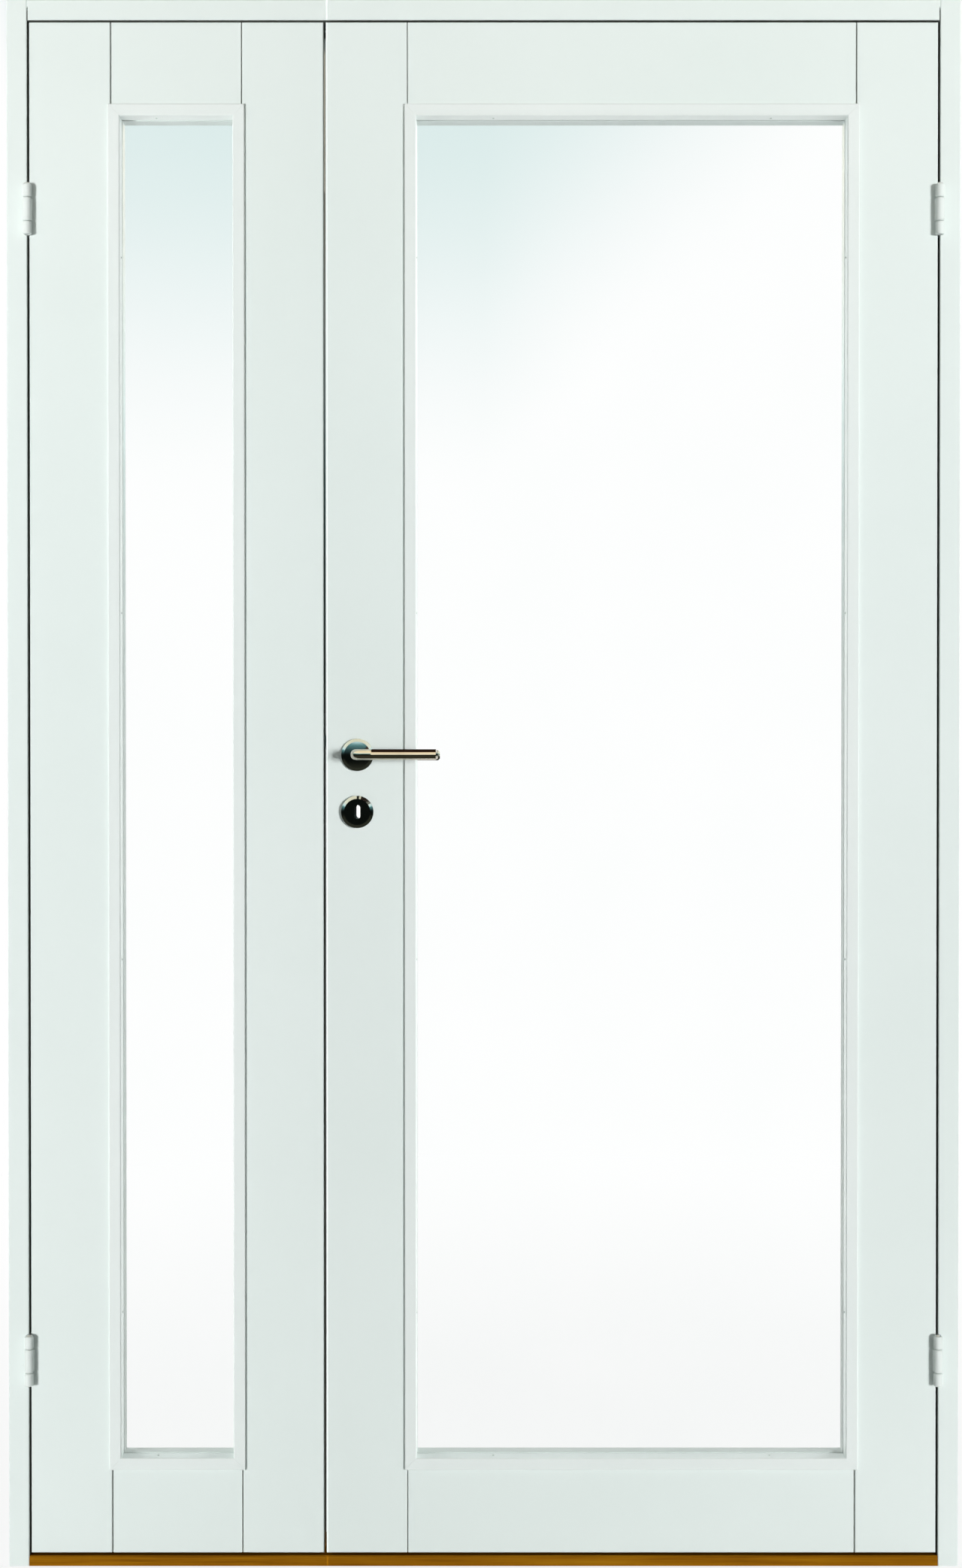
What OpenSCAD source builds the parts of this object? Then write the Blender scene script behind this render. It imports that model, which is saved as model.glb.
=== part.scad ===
// Glazed interior pair door in its own rebated frame: a wide active leaf with a lever handle and
// a keyed lock, beside a narrow passive leaf held by flush bolts. Both leaves have framed stiles
// and rails round one full-height pane, and open towards the front.
// Front is -Y, +X is to the right, +Z is up. The origin lies on the floor, midway between the
// jambs, in the mid-plane of the leaves. Sizes are in millimetres.

/* [Frame] */
// Overall width over the jambs
frame_w = 1268; // [1150:1:1500]
// Overall height from the floor to the top of the head
frame_h = 2088; // [1900:1:2400]
// Depth of the frame from front to back
frame_depth = 92; // [84:1:140]
// Face width of each jamb beside its leaf
jamb_face = 27; // [24:0.5:40]
// Face height of the head above the leaves
head_face = 27; // [24:0.5:40]
// How far the stop reaches past the jamb face
stop_w = 12; // [10:0.5:18]
// Height of the oak threshold
threshold_h = 13.5; // [12:0.5:25]
// Chamfer along the painted edges
arris = 1; // [0.5:0.1:2]
// Width of the open joint line between head and jamb
corner_joint_w = 1.2; // [0.6:0.2:2]
// Height of that joint line above the head's lower edge
corner_joint_h = 17; // [8:1:22]

/* [Frame seal and fixings] */
// Space for the seal between the back of a leaf and the stop
seal_gap = 3; // [2.5:0.5:5]
// Width of the groove that holds the seal
seal_groove_w = 3; // [2:0.5:4]
// Depth of the seal groove
seal_groove_d = 5; // [4:0.5:8]
// Outside diameter of a fixing sleeve
sleeve_d = 14; // [12:0.5:18]
// Hole through a fixing sleeve for the frame screw
sleeve_bore = 8.5; // [6.5:0.5:9.5]
// How far a sleeve sits below the face of the stop
sleeve_recess = 6; // [3:0.5:10]
// Height of the lowest fixings and drop of the highest ones from the frame's ends
fixing_end = 160; // [100:5:220]
// Distance between the two fixings at mid-height
fixing_mid = 600; // [400:10:700]

/* [Leaves] */
// Thickness of both leaves
leaf_t = 40; // [38:1:50]
// Width of the narrow passive leaf; the active leaf takes the rest
passive_w = 391; // [330:1:450]
// Gap between a leaf and the jamb or head
leaf_gap = 3; // [2:0.5:4]
// Gap between the two leaves
meeting_gap = 3; // [3:0.5:5]
// Rounding of the active leaf's front edge at the meeting gap
meeting_round = 3; // [1.5:0.5:5]
// Gap between the leaves and the threshold
floor_gap = 4.5; // [3:0.5:10]
// Width of the stiles
stile_w = 108; // [98:1:125]
// Height of the top rails
top_rail_h = 112; // [90:1:180]
// Height of the bottom rails
bottom_rail_h = 115; // [90:1:240]
// Width of the groove on the rail ends that draws the joint lines
joint_groove = 1.4; // [0.8:0.2:3]
// Length of the rail tenons
tenon_l = 45; // [30:1:60]
// Thickness of the rail tenons
tenon_t = 12; // [10:1:16]
// Shoulder above and below each tenon
tenon_shoulder = 20; // [12:1:30]

/* [Glazing] */
// Thickness of the panes
glass_t = 4; // [4:1:8]
// Clearance round the edge of a pane
glass_clear = 3; // [2:0.5:4]
// Face width of the glazing beads
bead_face = 16; // [14:0.5:22]
// Lip of the beads over the stiles and rails
bead_lip = 3.5; // [2.5:0.5:5]
// How far the beads stand proud of the leaf
bead_proud = 3.5; // [2:0.5:6]
// Width of the joint at the mitres of the beads
mitre_gap = 0.1; // [0.1:0.1:0.8]
// Thickness of the glazing tape
tape_t = 1; // [0.5:0.5:2]
// Length of the setting blocks under a pane
setting_block_l = 40; // [30:5:50]

/* [Hinges] */
// Length of a hinge barrel
hinge_h = 67; // [60:1:100]
// Length of the middle knuckle, which belongs to the leaf
middle_knuckle = 31; // [24:1:36]
// Outside diameter of the barrel
barrel_d = 12; // [11:0.5:14]
// Diameter of the hinge pin
pin_d = 7; // [5:0.5:7.5]
// Clearance between the barrel and the face of the door
barrel_clear = 0.5; // [0.3:0.1:2]
// Thickness of the hinge plates
plate_t = 2; // [1.5:0.5:3]
// Depth of the hinge plates from the face
plate_depth = 30; // [24:1:34]
// Height of the middle of the lower hinges
hinge_low_z = 276.5; // [200:0.5:400]
// Drop from the top of the frame to the middle of the upper hinges
hinge_top_drop = 279.5; // [200:0.5:400]

/* [Lever and lock] */
// Height of the lever's spindle above the floor
lever_z = 1084.5; // [950:0.5:1150]
// Distance of the spindle from the edge of the active leaf
backset = 42; // [40:0.5:50]
// Distance from the spindle down to the keyhole
key_drop = 76; // [72:0.5:80]
// Diameter of the roses and escutcheons
rose_d = 43; // [40:0.5:52]
// Thickness of the roses and escutcheons
rose_t = 8; // [6:0.5:10]
// Diameter of the lever's round bar
lever_d = 14; // [13:0.5:18]
// Length of the lever from the spindle to its end
lever_reach = 108; // [95:1:140]
// Distance from the leaf's face to the middle of the grip
lever_out = 48; // [42:1:55]
// Side of the square spindle
spindle_s = 8; // [7:0.5:8]
// Width of the keyhole
key_slot_w = 8.4; // [7:0.2:9]
// Height of the keyhole
key_slot_h = 18.8; // [16:0.2:22]
// Throw of the latch
latch_throw = 10; // [8:0.5:10]
// Width of the forend and the strike plate
forend_w = 20; // [18:1:24]
// Thickness of the lock case
case_t = 15; // [14:0.5:18]

/* [Flush bolts] */
// Length of a flush bolt's plate
flush_l = 220; // [210:5:300]
// Diameter of a flush bolt's rod
flush_d = 10; // [8:0.5:11]
// Throw of a flush bolt
flush_throw = 13; // [11:0.5:14]
// Distance from the inner end of the plate to the middle of the thumb piece
thumb_in = 40; // [35:1:60]

/* [Hidden] */
$fn = 64;
eps = 0.01;
over = 1;          // how far a cut runs past the face it opens
fit = 0.15;        // clearance round pieces that are let in
pin_fit = 0.05;    // radial clearance of pins and bearings
slide_fit = 0.3;   // clearance round sliding bolts

// Where the planes of the frame and leaves lie
half_w = frame_w / 2;
front_y = -leaf_t / 2;
back_y = leaf_t / 2;
stop_y = back_y + seal_gap;
frame_back = front_y + frame_depth;
jamb_in = half_w - jamb_face;
jamb_t = jamb_face + stop_w;
stop_in = half_w - jamb_t;
head_z = frame_h - head_face;
stop_z = head_z - stop_w;
leaf_top = head_z - leaf_gap;
leaf_bottom = threshold_h + floor_gap;
leaf_h = leaf_top - leaf_bottom;
passive_x0 = -jamb_in + leaf_gap;
active_x1 = jamb_in - leaf_gap;
passive_x1 = passive_x0 + passive_w;
active_x0 = passive_x1 + meeting_gap;
pane_z0 = leaf_bottom + bottom_rail_h;
pane_z1 = leaf_top - top_rail_h;

// Frame fixings
fixing_y = (stop_y + frame_back) / 2;
fixing_zs = [fixing_end, (frame_h - fixing_mid) / 2, (frame_h + fixing_mid) / 2, frame_h - fixing_end];

corner_joint_d = 7;                   // depth of the open joint line between head and jamb

// Seal bulb, drawn as part of a circle that swells out of the stop
seal_clear = 0.3;
seal_bulb_r = 4;

// Ends of the stiles and rails, eased a little less than their edges
end_arris = 0.7 * arris;

// Hinges
axis_x = jamb_in - leaf_gap / 2;
hinge_out = barrel_d / 2 + barrel_clear;
axis_y = front_y - hinge_out;
hinge_zs = [hinge_low_z - hinge_h / 2, frame_h - hinge_top_drop - hinge_h / 2];
knuckle_gap = 0.5;
knuckle_chamfer = 1.4;
outer_knuckle = (hinge_h - middle_knuckle) / 2 - knuckle_gap;
jamb_knuckles = [[0, outer_knuckle], [hinge_h - outer_knuckle, hinge_h]];
leaf_knuckles = [[outer_knuckle + knuckle_gap, hinge_h - outer_knuckle - knuckle_gap]];
pin_head_d = pin_d + 1.6;
pin_head_h = 1.4;
pin_tip = 0.5;                        // chamfer of the pin, and its end inside the barrel

// Countersunk wood screws
screw_d = 3.5;
screw_head_d = 7;
screw_head_h = 2;
screw_l = 20;
hinge_screw_edge = 11;
hinge_screw_near = 9;
hinge_screw_far = plate_depth - hinge_screw_near;
hinge_screws = [[hinge_screw_near, hinge_screw_edge], [hinge_screw_far, hinge_h / 2],
                [hinge_screw_near, hinge_h - hinge_screw_edge]];

// Lock
spindle_x = active_x0 + backset;
key_z = lever_z - key_drop;
forend_t = 3;
forend_below = 82;                    // forend below the keyhole and above the spindle
forend_above = 74;
forend_z0 = key_z - forend_below;
forend_z1 = lever_z + forend_above;
case_wall = 1.5;
case_back = 25;                       // from the spindle to the back of the case
case_below = 34;                      // case below the keyhole and above the spindle
case_above = 38;
case_z0 = key_z - case_below;
case_z1 = lever_z + case_above;
hub_r = 9;
arm_w = 6;
arm_out = 8;                          // arm of the follower beyond its hub
arm_r = hub_r + arm_out;
tail_lift = 1.5;                      // latch tail above the hub
tail_z0 = lever_z + hub_r + tail_lift;
tail_h = 16;
tail_t = 6;
tail_end = 6;                         // lug behind the arm of the follower
arm_play = 0.8;                       // play of the arm in front and behind, at rest
arm_back = 3.5;
latch_w = 11;
latch_head = 12;                      // latch head behind the forend
latch_lip = 2;                        // flat edge of the latch beside its bevel
bolt_h = 28;
bolt_t = 9;
bolt_clear = 7;                       // from the drawn bolt to the keyhole
bolt_l = backset - key_slot_w / 2 - bolt_clear;
bolt_throw = 14;
drill_clear = 1;                      // round the spindle and keyhole in the wood
spindle_hole_r = hub_r + drill_clear;
strike_t = 2;
strike_below = 48;                    // strike plate below the keyhole and above the spindle
strike_above = 56;
strike_z0 = key_z - strike_below;
strike_z1 = lever_z + strike_above;
pocket_spare = 4;
pocket_d = bolt_throw + pocket_spare; // depth of the bolt pockets in the passive leaf
window_h_clear = 2;                   // round latch and bolt in the strike plate
window_w_clear = 1.5;
edge_screw_in = 9;

// Joint lines of the leaves
groove_deep = 3;

// Lever and roses
rose_rim = 4;                         // width and height of the sloping rim
rose_rim_h = 2.8;
rose_dome = 1.6;                      // rise of the lever's rose towards its middle
bend_in = 1;                          // inner radius of the lever's bend
neck_clear = 1;                       // from the leaf to the end of the neck
grip_ease = 2.5;                      // bevel on the end of the grip

// Flush bolts
flush_axis_in = 9;                    // axis of the rods behind the edge of the leaf
flush_x = passive_x1 - flush_axis_in;
thumb_drop = flush_l - thumb_in;      // middle of the drawn thumb piece below the end of the leaf
flush_plate_t = 2.5;
flush_plate_w = 18;
flush_foot_l = 30;                    // foot of the plate on the end of the leaf
flush_foot_screw = 7;
flush_tip = 1;                        // chamfer on the end of the rod
flush_set_back = 0.5;                 // end of the drawn rod below the end of the leaf
thumb_h = 14;
thumb_w = 6;
thumb_set_back = 0.4;
keeper_plate_t = 2;
keeper_w = 20;
keeper_l = 25;
socket_wall = 2.5;
socket_floor = 1;
socket_d = 12;                        // depth of the socket in the threshold
head_bore_d = 18;                     // depth of the bore in the head

WHITE = [0.90, 0.93, 0.91];
STEEL = [0.55, 0.56, 0.56];
ZINC = [0.72, 0.74, 0.75];

// Shared shapes

// Box from one corner to the opposite one
module block(a, b) {
    translate(a) cube(b - a);
}

// Round bar along X
module rod_x(x0, x1, y, z, r) {
    translate([x0, y, z]) rotate([0, 90, 0]) cylinder(h = x1 - x0, r = r);
}

// Round bar along Y
module rod_y(y0, y1, x, z, r) {
    translate([x, y1, z]) rotate([90, 0, 0]) cylinder(h = y1 - y0, r = r);
}

// Chamfer along X on the edge at y, z; sy and sz are 1 or -1 and point out of the solid
module edge_cut_x(x0, x1, y, z, c, sy, sz) {
    m = c + over;
    translate([x0, y, z]) rotate([90, 0, 90]) linear_extrude(x1 - x0)
        polygon([[-sy * m, sz * over], [sy * over, -sz * m], [sy * over, sz * over]]);
}

// Countersunk screw along +X with its head flush at the origin; grow widens it into its own hole
module screw_x(grow = 0) {
    rotate([0, 90, 0]) {
        cylinder(h = screw_head_h, r1 = screw_head_d / 2 + grow, r2 = screw_d / 2 + grow);
        cylinder(h = screw_l + 2 * grow, r = screw_d / 2 + grow);
    }
}

// Upright slot with round ends, running along Y
module slot_y(y0, y1, x, z, w, h) {
    for (s = [-1, 1]) rod_y(y0, y1, x, z + s * (h - w) / 2, w / 2);
    block([x - w / 2, y0, z - (h - w) / 2], [x + w / 2, y1, z + (h - w) / 2]);
}

// Copies a left-hand shape to the right-hand side
module on_side(side) {
    mirror([side > 0 ? 1 : 0, 0, 0]) children();
}

// Places a hinge piece: local x runs from the axis towards the leaf, local y towards the back
module at_hinge(side, z) {
    on_side(side) translate([-axis_x, axis_y, z]) children();
}

module at_hinges(side) {
    for (z = hinge_zs) at_hinge(side, z) children();
}

// Hinges

// One knuckle of the barrel, with chamfered ends
module knuckle(z0, z1) {
    r = barrel_d / 2;
    c = knuckle_chamfer;
    rotate_extrude() polygon([[0, z0], [r - c, z0], [r, z0 + c], [r, z1 - c], [r - c, z1], [0, z1]]);
}

// Points a plate shape at the leaf (1) or at the jamb (-1)
module plate_side(dir) {
    mirror([dir < 0 ? 1 : 0, 0, 0]) children();
}

// Screws of one hinge plate
module plate_screws(dir, grow = 0) {
    plate_side(dir)
        for (p = hinge_screws) translate([leaf_gap / 2, hinge_out + p[0], p[1]]) screw_x(grow);
}

// A hinge plate with the knuckles that belong to it, each on a web that bears on the face beside it
module hinge_plate(dir, knuckles) {
    g = leaf_gap / 2;
    color(WHITE) difference() {
        union() {
            plate_side(dir) {
                block([g, hinge_out, 0], [g + plate_t, hinge_out + plate_depth, hinge_h]);
                for (k = knuckles) {
                    block([g, 0, k[0]], [g + plate_t, hinge_out + eps, k[1]]);
                    block([g, 0, k[0] + knuckle_chamfer], [barrel_d / 2, hinge_out, k[1] - knuckle_chamfer]);
                }
            }
            for (k = knuckles) knuckle(k[0], k[1]);
        }
        translate([0, 0, -over]) cylinder(h = hinge_h + 2 * over, r = pin_d / 2 + pin_fit);
        plate_screws(dir, pin_fit);
    }
}

// Recess in the wood for a hinge plate and its screws
module hinge_recess(dir) {
    g = leaf_gap / 2;
    plate_side(dir)
        block([g - over, hinge_out - over, -fit],
              [g + plate_t, hinge_out + plate_depth + fit, hinge_h + fit]);
    plate_screws(dir, pin_fit);
}

module jamb_plate(side, z) {
    at_hinge(side, z) hinge_plate(-1, jamb_knuckles);
}

module leaf_plate(side, z) {
    at_hinge(side, z) hinge_plate(1, leaf_knuckles);
}

// Turned pin with a low head that rests on the upper knuckle
module hinge_pin() {
    r = pin_d / 2;
    rh = pin_head_d / 2;
    h = hinge_h;
    t = pin_tip;
    rotate_extrude() polygon([[0, t], [r - t, t], [r, 2 * t], [r, h], [rh, h], [rh, h + pin_head_h / 2],
                              [rh - pin_head_h / 2, h + pin_head_h], [0, h + pin_head_h]]);
}

module hinge_pins() {
    color(ZINC) for (side = [-1, 1]) at_hinges(side) hinge_pin();
}

module frame_screws() {
    color(ZINC) for (side = [-1, 1]) at_hinges(side) plate_screws(-1);
}

// Frame

// Section of a left jamb: face, rebate and stop, with the groove for the seal
module jamb_section() {
    a = arris;
    difference() {
        polygon([[0, front_y + a], [a, front_y], [jamb_face - a, front_y], [jamb_face, front_y + a],
                 [jamb_face, stop_y], [jamb_t - a, stop_y], [jamb_t, stop_y + a],
                 [jamb_t, frame_back - a], [jamb_t - a, frame_back], [a, frame_back], [0, frame_back - a]]);
        translate([jamb_face + (stop_w - seal_groove_w) / 2, stop_y - over])
            square([seal_groove_w, seal_groove_d + over]);
    }
}

// A jamb with its hinge recesses and the holes for the fixing sleeves
module jamb(side) {
    color(WHITE) difference() {
        on_side(side) translate([-half_w, 0, 0]) linear_extrude(frame_h) jamb_section();
        at_hinges(side) hinge_recess(-1);
        on_side(side)
            for (z = fixing_zs)
                rod_x(-half_w - over, -stop_in + over, fixing_y, z, sleeve_d / 2 + pin_fit);
    }
}

// The head fits between the jambs; its stop is cut back round theirs
module frame_head() {
    color(WHITE) difference() {
        union() {
            block([-jamb_in, front_y, head_z], [jamb_in, stop_y, frame_h]);
            translate([-stop_in, 0, 0]) rotate([90, 0, 90]) linear_extrude(2 * stop_in)
                polygon([[front_y, head_z], [stop_y, head_z], [stop_y, stop_z],
                         [frame_back, stop_z], [frame_back, frame_h], [front_y, frame_h]]);
        }
        for (z = [[frame_h, 1], [head_z, -1]]) edge_cut_x(-half_w, half_w, front_y, z[0], arris, -1, z[1]);
        for (z = [[frame_h, 1], [stop_z, -1]]) edge_cut_x(-half_w, half_w, frame_back, z[0], arris, 1, z[1]);
        edge_cut_x(-half_w, half_w, stop_y, stop_z, arris, -1, -1);
        block([-half_w, stop_y - over, head_z - (stop_w + seal_groove_w) / 2],
              [half_w, stop_y + seal_groove_d, head_z - (stop_w - seal_groove_w) / 2]);
        for (side = [-1, 1]) on_side(side)
            block([-jamb_in - over, front_y - over, head_z - over],
                  [-jamb_in + corner_joint_w, front_y + corner_joint_d, head_z + corner_joint_h]);
        translate([flush_x, 0, head_z - over])
            cylinder(h = head_bore_d + over, r = flush_d / 2 + 2 * slide_fit);
        keeper_outline(fit, head_z - over);
    }
}

// Oak threshold, notched round the stops, with eased upper edges
module threshold() {
    color([0.62, 0.42, 0.15]) difference() {
        linear_extrude(threshold_h)
            polygon([[-jamb_in, front_y], [jamb_in, front_y], [jamb_in, stop_y], [stop_in, stop_y],
                     [stop_in, frame_back], [-stop_in, frame_back], [-stop_in, stop_y], [-jamb_in, stop_y]]);
        edge_cut_x(-half_w, half_w, front_y, threshold_h, 2 * arris, -1, 1);
        edge_cut_x(-half_w, half_w, frame_back, threshold_h, 2 * arris, 1, 1);
        translate([flush_x, 0, threshold_h - socket_d])
            cylinder(h = socket_d + over, r = flush_d / 2 + slide_fit + socket_wall + pin_fit);
    }
}

// Section of the rubber seal: a root in the groove and a bulb towards the leaf
module seal_section() {
    depth = seal_gap - seal_clear;
    translate([-seal_groove_w / 2, -eps]) square([seal_groove_w, seal_groove_d - fit]);
    intersection() {
        translate([0, seal_bulb_r - depth]) circle(seal_bulb_r);
        translate([-seal_bulb_r, -depth - over]) square([2 * seal_bulb_r, depth + over]);
    }
}

// Two upright lengths and one under the head
module frame_seal() {
    middle = jamb_in - stop_w / 2;
    color([0.16, 0.13, 0.09]) {
        for (side = [-1, 1]) translate([side * middle, stop_y, threshold_h])
            linear_extrude(head_z - threshold_h - fit) seal_section();
        translate([stop_in - fit, stop_y, head_z - stop_w / 2]) rotate([0, -90, 0])
            linear_extrude(2 * (stop_in - fit)) seal_section();
    }
}

// Steel sleeves that take the screws into the wall opening
module fixing_sleeves() {
    color(ZINC) for (side = [-1, 1]) on_side(side)
        for (z = fixing_zs) difference() {
            rod_x(-half_w, -stop_in - sleeve_recess, fixing_y, z, sleeve_d / 2);
            rod_x(-half_w - over, -stop_in, fixing_y, z, sleeve_bore / 2);
        }
}

// Plate in the underside of the head that the upper flush bolt enters
module keeper_outline(grow, z0) {
    block([flush_x - keeper_w / 2 - grow, -keeper_l / 2 - grow, z0],
          [min(flush_x + keeper_w / 2, jamb_in) + grow, keeper_l / 2 + grow, head_z + keeper_plate_t]);
}

module head_keeper() {
    color(ZINC) difference() {
        keeper_outline(0, head_z);
        translate([flush_x, 0, head_z - over])
            cylinder(h = keeper_plate_t + 2 * over, r = flush_d / 2 + slide_fit);
    }
}

// Turned cup in the threshold that the lower flush bolt enters
module threshold_socket() {
    r = flush_d / 2 + slide_fit;
    color(ZINC) translate([flush_x, 0, threshold_h - socket_d]) difference() {
        cylinder(h = socket_d, r = r + socket_wall);
        translate([0, 0, socket_floor]) cylinder(h = socket_d, r = r);
    }
}

// Stiles and rails

// Upright board with chamfered edges and ends; its front left edge is rounded where round is given
module stile_blank(x0, x1, round = 0) {
    a = arris;
    b = max(a, round);
    difference() {
        translate([0, 0, leaf_bottom]) linear_extrude(leaf_h) {
            polygon([[x0 + b, front_y], [x1 - a, front_y], [x1, front_y + a], [x1, back_y - a],
                     [x1 - a, back_y], [x0 + a, back_y], [x0, back_y - a], [x0, front_y + b]]);
            if (round > 0)
                translate([x0 + b, front_y + b]) rotate(180) intersection() {
                    circle(b);
                    square(b);
                }
        }
        end_chamfers(x0, x1, -1);
        end_chamfers(x0, x1, 1);
    }
}

// Eases the upper (1) or lower (-1) end of a leaf on both faces
module end_chamfers(x0, x1, end) {
    z = end > 0 ? leaf_top : leaf_bottom;
    for (s = [-1, 1]) edge_cut_x(x0 - over, x1 + over, s * leaf_t / 2, z, end_arris, s, end);
}

// Tenons of both rails, reaching dir * tenon_l from the shoulder at x; grow makes their mortises
module tenons(x, dir, grow = 0) {
    reach = tenon_l + (grow > 0 ? over : 0);
    x0 = min(x - dir * over, x + dir * reach);
    x1 = max(x - dir * over, x + dir * reach);
    w = tenon_t / 2 + grow;
    for (span = [[leaf_bottom, pane_z0], [pane_z1, leaf_top]])
        block([x0, -w, span[0] + tenon_shoulder - grow], [x1, w, span[1] - tenon_shoulder + grow]);
}

// Rail between two stiles, from z0 to z1, with its tenons, at the upper (1) or lower (-1) end
module rail(x0, x1, z0, z1, end) {
    v = joint_groove;
    f = front_y + groove_deep;
    b = back_y - groove_deep;
    xa = x0 + stile_w;
    xb = x1 - stile_w;
    color(WHITE) {
        difference() {
            translate([0, 0, z0]) linear_extrude(z1 - z0)
                polygon([[xa + v, front_y], [xb - v, front_y], [xb - v, f], [xb, f], [xb, b], [xb - v, b],
                         [xb - v, back_y], [xa + v, back_y], [xa + v, b], [xa, b], [xa, f], [xa + v, f]]);
            end_chamfers(xa, xb, end);
        }
        intersection() {
            union() {
                tenons(xa, -1);
                tenons(xb, 1);
            }
            block([x0, front_y, z0], [x1, back_y, z1]);
        }
    }
}

module top_rail(x0, x1) {
    rail(x0, x1, pane_z1, leaf_top, 1);
}

module bottom_rail(x0, x1) {
    rail(x0, x1, leaf_bottom, pane_z0, -1);
}

module passive_hinge_stile() {
    color(WHITE) difference() {
        stile_blank(passive_x0, passive_x0 + stile_w);
        at_hinges(-1) hinge_recess(1);
        tenons(passive_x0 + stile_w, -1, fit);
    }
}

module active_hinge_stile() {
    color(WHITE) difference() {
        stile_blank(active_x1 - stile_w, active_x1);
        at_hinges(1) hinge_recess(1);
        tenons(active_x1 - stile_w, 1, fit);
    }
}

// Meeting stile of the passive leaf, cut for the strike plate, its pockets and the flush bolts
module passive_meeting_stile() {
    x1 = passive_x1;
    color(WHITE) difference() {
        stile_blank(x1 - stile_w, x1);
        tenons(x1 - stile_w, 1, fit);
        block([x1 - strike_t, -forend_w / 2 - fit, strike_z0 - fit],
              [x1 + over, forend_w / 2 + fit, strike_z1 + fit]);
        strike_windows(x1 - pocket_d);
        strike_screws(pin_fit);
        for (end = [-1, 1]) flush_groove(end);
    }
}

// Lock stile of the active leaf, mortised for the lock and drilled for spindle and key
module active_lock_stile() {
    x0 = active_x0;
    color(WHITE) difference() {
        stile_blank(x0, x0 + stile_w, meeting_round);
        tenons(x0 + stile_w, -1, fit);
        block([x0 - over, -forend_w / 2 - fit, forend_z0 - fit],
              [x0 + forend_t, forend_w / 2 + fit, forend_z1 + fit]);
        block([x0 - over, -case_t / 2 - fit, case_z0 - fit],
              [spindle_x + case_back + fit, case_t / 2 + fit, case_z1 + fit]);
        rod_y(front_y - over, back_y + over, spindle_x, lever_z, spindle_hole_r);
        slot_y(front_y - over, back_y + over, spindle_x, key_z,
               key_slot_w + 2 * drill_clear, key_slot_h + 2 * drill_clear);
        forend_screws(pin_fit);
    }
}

// Glazing

// Half width and half height of the opening between stiles and rails, and its middle
function pane_half_w(x0, x1) = (x1 - x0) / 2 - stile_w;
pane_half_h = (pane_z1 - pane_z0) / 2;
pane_mid_z = (pane_z0 + pane_z1) / 2;
bead_body = bead_face - bead_lip;
bead_back = glass_t / 2 + tape_t;
tape_edge = 0.5;                      // tape inside the edge of the pane and behind the sight edge
tape_set_back = 1.5;

// Section of a front bead: x is the depth, y is the distance out from the sight edge
module bead_section() {
    face = front_y - bead_proud;
    a = arris;
    polygon([[-bead_back, 0], [face + a, 0], [face, a], [face, bead_face - a], [face + a, bead_face],
             [front_y, bead_face], [front_y, bead_body - fit], [-bead_back, bead_body - fit]]);
}

// Length of front bead along the upper edge of an opening, mitred at both ends
module bead_length(half_run, half_across) {
    sight = half_across - bead_body;
    outer = half_across + bead_lip;
    cut_back = mitre_gap / sqrt(2);
    run_in = half_run - bead_body - cut_back;
    run_out = half_run + bead_lip - cut_back;
    intersection() {
        translate([-run_out, 0, sight]) rotate([90, 0, 90]) linear_extrude(2 * run_out) bead_section();
        rotate([90, 0, 0]) translate([0, 0, -leaf_t]) linear_extrude(2 * leaf_t)
            polygon([[-run_in, sight], [run_in, sight], [run_out, outer], [-run_out, outer]]);
    }
}

// One of the four beads of a leaf: 0 top, 1 right, 2 bottom, 3 left
module bead(x0, x1, which) {
    across = pane_half_w(x0, x1);
    upright = which % 2 == 1;
    color(WHITE) translate([(x0 + x1) / 2, 0, pane_mid_z]) rotate([0, 90 * which, 0])
        bead_length(upright ? pane_half_h : across, upright ? across : pane_half_h);
}

// The four beads on the back of a leaf
module rear_beads(x0, x1) {
    mirror([0, 1, 0]) for (which = [0:3]) bead(x0, x1, which);
}

// A clear pane with its clearance all round
module pane(x0, x1) {
    w = pane_half_w(x0, x1) - glass_clear;
    h = pane_half_h - glass_clear;
    color([0.85, 0.95, 0.94, 0.4]) translate([(x0 + x1) / 2, 0, pane_mid_z])
        block([-w, -glass_t / 2, -h], [w, glass_t / 2, h]);
}

// Foam tape on both faces of a pane, set back from the sight edge
module glazing_tape(x0, x1) {
    out_w = pane_half_w(x0, x1) - glass_clear - tape_edge;
    out_h = pane_half_h - glass_clear - tape_edge;
    in_w = pane_half_w(x0, x1) - bead_body + tape_set_back;
    in_h = pane_half_h - bead_body + tape_set_back;
    color([0.80, 0.82, 0.80]) translate([(x0 + x1) / 2, 0, pane_mid_z])
        for (y = [-bead_back, glass_t / 2]) difference() {
            block([-out_w, y, -out_h], [out_w, y + tape_t, out_h]);
            block([-in_w, y - over, -in_h], [in_w, y + tape_t + over, in_h]);
        }
}

// Two blocks that carry the pane on the bottom rail
module setting_blocks(x0, x1) {
    half = pane_half_w(x0, x1);
    color([0.20, 0.20, 0.21]) for (s = [-1, 1]) translate([(x0 + x1) / 2 + s * half / 2, 0, pane_z0])
        block([-setting_block_l / 2, -glass_t / 2, 0], [setting_block_l / 2, glass_t / 2, glass_clear]);
}

// Lock, lever and furniture

// Countersunk screws in the edge of the active leaf
module forend_screws(grow = 0) {
    for (z = [forend_z0 + edge_screw_in, forend_z1 - edge_screw_in])
        translate([active_x0, 0, z]) screw_x(grow);
}

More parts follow.
